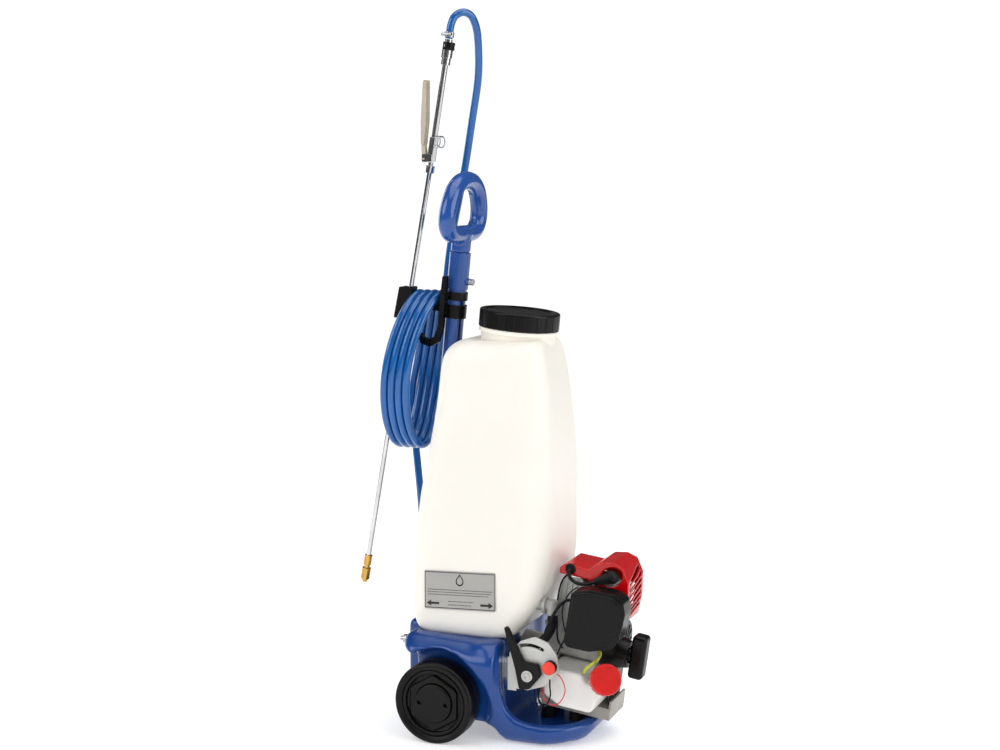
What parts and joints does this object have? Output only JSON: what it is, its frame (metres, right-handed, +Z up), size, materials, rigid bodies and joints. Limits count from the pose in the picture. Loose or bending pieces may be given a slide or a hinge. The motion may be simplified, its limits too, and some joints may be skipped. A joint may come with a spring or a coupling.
{
  "type": "wheeled sprayer cart",
  "caption": "Two-wheeled sprayer cart with a translucent tank, telescopic pull handle, two-stroke engine and pump, coiled spray hose, trigger gun and lance.",
  "frame": {"origin": "on the ground, at the middle of the footprint of the whole object", "axes": "+X forward to the engine end, +Z up, wheels turn about Y; the gun, lever and controls are on the -Y side"},
  "size_m": [0.5398, 0.322, 1.2274],
  "materials": {
    "blue_plastic": "satin moulded plastic",
    "blue_paint": "painted tube",
    "blue_hose": "glossy PVC hose",
    "tank_white": "translucent blow-moulded",
    "fuel_white": "translucent blow-moulded",
    "black_plastic": "moulded",
    "tyre_black": "solid tyre",
    "rubber_black": "moulded rubber",
    "red_plastic": "gloss moulded",
    "orange_red": "satin moulded",
    "chrome": "polished",
    "steel": "zinc plated",
    "alloy": "die cast",
    "brass": "turned",
    "label_silver": "printed foil plate",
    "beige_plastic": "moulded",
    "grey_plate": "pressed plate",
    "clear_yellow": "fuel tube",
    "rope": "braided cord",
    "cast": "machined"
  },
  "bodies": {
    "frame": {"air_filter_base": "black_plastic", "air_filter_cover": "black_plastic", "axle": "steel", "axle_retainers": "steel", "base_shell": "blue_plastic", "carburettor": "alloy", "control_plate": "grey_plate", "cowl": "red_plastic", "crankcase": "alloy", "cylinder": "alloy", "engine_bracket": "steel", "fuel_line": "clear_yellow", "fuel_tank": "fuel_white", "gear_case": "alloy", "gun_body": "chrome", "handle_outer_tube": "blue_paint", "hose_clamp": "steel", "hose_hook": "black_plastic", "lance_clip": "black_plastic", "lance_tube": "chrome", "muffler": "cast", "nozzle_body": "brass", "plug_boot": "rubber_black", "pump_body": "alloy", "rear_bolts": "steel", "rubber_mounts": "rubber_black", "spark_plug": "steel", "spray_hose": "blue_hose", "starter_housing": "black_plastic", "stop_housing": "black_plastic", "suction_hose": "rubber_black", "tank": "tank_white", "tank_label": "label_silver", "tank_outlet": "steel", "throttle_cable": "rubber_black", "tube_collar": "blue_paint", "strainer_basket": "black_plastic"},
    "wheel_right": {"tyre_right": "tyre_black", "wheel_hub_right": "black_plastic", "hub_cap_right": "black_plastic"},
    "wheel_left": {"tyre_left": "tyre_black", "wheel_hub_left": "black_plastic", "hub_cap_left": "black_plastic"},
    "handle": {"handle_inner_tube": "blue_paint", "d_grip": "blue_plastic"},
    "lock_screw": {"lock_knob": "steel"},
    "cap_carrier": {"cap_seal": "rubber_black"},
    "cap": {"filler_cap": "black_plastic"},
    "lever": {"gun_lever": "beige_plastic"},
    "clasp": {"lock_clasp": "chrome"},
    "nozzle": {"nozzle_cap": "brass"},
    "fuel_filler_cap": {"fuel_cap": "orange_red"},
    "throttle": {"throttle_lever": "black_plastic"},
    "stop": {"stop_button": "orange_red"},
    "crank": {"crankshaft": "steel", "flywheel": "alloy"},
    "pump_drive": {"pump_shaft": "steel"},
    "pulley": {"recoil_pulley": "black_plastic"},
    "pull_grip": {"starter_grip": "black_plastic", "starter_rope": "rope"}
  },
  "joints": [
    {"name": "wheel_right_spin", "type": "hinge", "parent": "frame", "child": "wheel_right", "pos_m": [-0.063, -0.138, 0.07], "axis": [0, 1, 0], "continuous": true},
    {"name": "wheel_left_spin", "type": "hinge", "parent": "frame", "child": "wheel_left", "pos_m": [-0.063, 0.138, 0.07], "axis": [0, 1, 0], "continuous": true},
    {"name": "handle_extend", "type": "slide", "parent": "frame", "child": "handle", "axis": [0.0967, 0, 0.9953], "range_m": [0, 0.14]},
    {"name": "lock_knob_turn", "type": "hinge", "parent": "frame", "child": "lock_screw", "pos_m": [-0.05081, 0, 0.76585], "axis": [0.9953, 0, -0.0967], "range_deg": [0, 180]},
    {"name": "cap_lift", "type": "slide", "parent": "frame", "child": "cap_carrier", "axis": [0.0872, 0, 0.9962], "range_m": [0, 0.02]},
    {"name": "cap_turn", "type": "hinge", "parent": "cap_carrier", "child": "cap", "pos_m": [0.031, 0, 0.692], "axis": [0.0872, 0, 0.9962], "range_deg": [0, 720]},
    {"name": "lever_squeeze", "type": "hinge", "parent": "frame", "child": "lever", "pos_m": [-0.1375, -0.006, 0.976], "axis": [0, 1, 0], "range_deg": [0, 8]},
    {"name": "clasp_swing", "type": "hinge", "parent": "frame", "child": "clasp", "pos_m": [-0.1175, -0.006, 0.998], "axis": [0, 1, 0], "range_deg": [-10, 20]},
    {"name": "nozzle_turn", "type": "hinge", "parent": "frame", "child": "nozzle", "pos_m": [-0.259, -0.006, 0.233], "axis": [0.176, 0, 0.9844], "range_deg": [0, 270]},
    {"name": "fuel_cap_turn", "type": "hinge", "parent": "frame", "child": "fuel_filler_cap", "pos_m": [0.20663, -0.08, 0.11501], "axis": [0.4754, -0.7995, 0.3671], "range_deg": [0, 360]},
    {"name": "throttle_swing", "type": "hinge", "parent": "frame", "child": "throttle", "pos_m": [0.094, -0.119, 0.126], "axis": [0, 1, 0], "range_deg": [0, 50]},
    {"name": "stop_press", "type": "slide", "parent": "frame", "child": "stop", "axis": [0, 1, 0], "range_m": [0, 0.003]},
    {"name": "crank_spin", "type": "hinge", "parent": "frame", "child": "crank", "pos_m": [0.09491, 0, 0.17515], "axis": [0.9903, 0, -0.1392], "continuous": true},
    {"name": "pump_spin", "type": "hinge", "parent": "frame", "child": "pump_drive", "pos_m": [0.08934, 0, 0.13553], "axis": [0.9903, 0, -0.1392], "continuous": true},
    {"name": "starter_pull", "type": "slide", "parent": "frame", "child": "pull_grip", "axis": [0.9903, 0, -0.1392], "range_m": [0, 0.4], "deforming": ["starter_rope"]},
    {"name": "pulley_turn", "type": "hinge", "parent": "frame", "child": "pulley", "pos_m": [0.09491, 0, 0.17515], "axis": [0.9903, 0, -0.1392], "range_deg": [0, 976]}
  ],
  "couplings": [
    {"joint": "cap_lift", "follows": "cap_turn", "m_per_rad": 0.0012732},
    {"joint": "pump_spin", "follows": "crank_spin", "ratio": -0.33333},
    {"joint": "pulley_turn", "follows": "starter_pull", "rad_per_m": 42.553}
  ]
}
